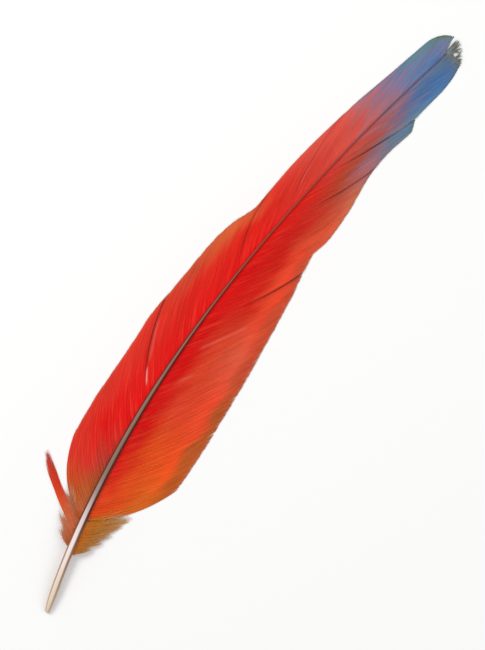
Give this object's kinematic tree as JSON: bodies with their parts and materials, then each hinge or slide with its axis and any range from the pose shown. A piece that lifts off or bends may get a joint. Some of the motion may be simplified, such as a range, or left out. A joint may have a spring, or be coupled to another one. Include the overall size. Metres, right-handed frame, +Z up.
{
  "type": "feather",
  "caption": "Long curved tail feather of a parrot, with a tapering shaft, two vanes of barbs, a notched tip and loose downy locks at its base; it lies flat.",
  "frame": {"origin": "on the surface that the feather lies on, under the middle of its box", "axes": "+Y from the quill end to the tip, +X to the right seen from above with the tip up, +Z up"},
  "size_m": [0.0738, 0.3964, 0.0106],
  "materials": {
    "vane": "matte",
    "shaft": "satin",
    "down": "matte"
  },
  "bodies": {
    "root": {"feather": "vane"}
  },
  "joints": []
}
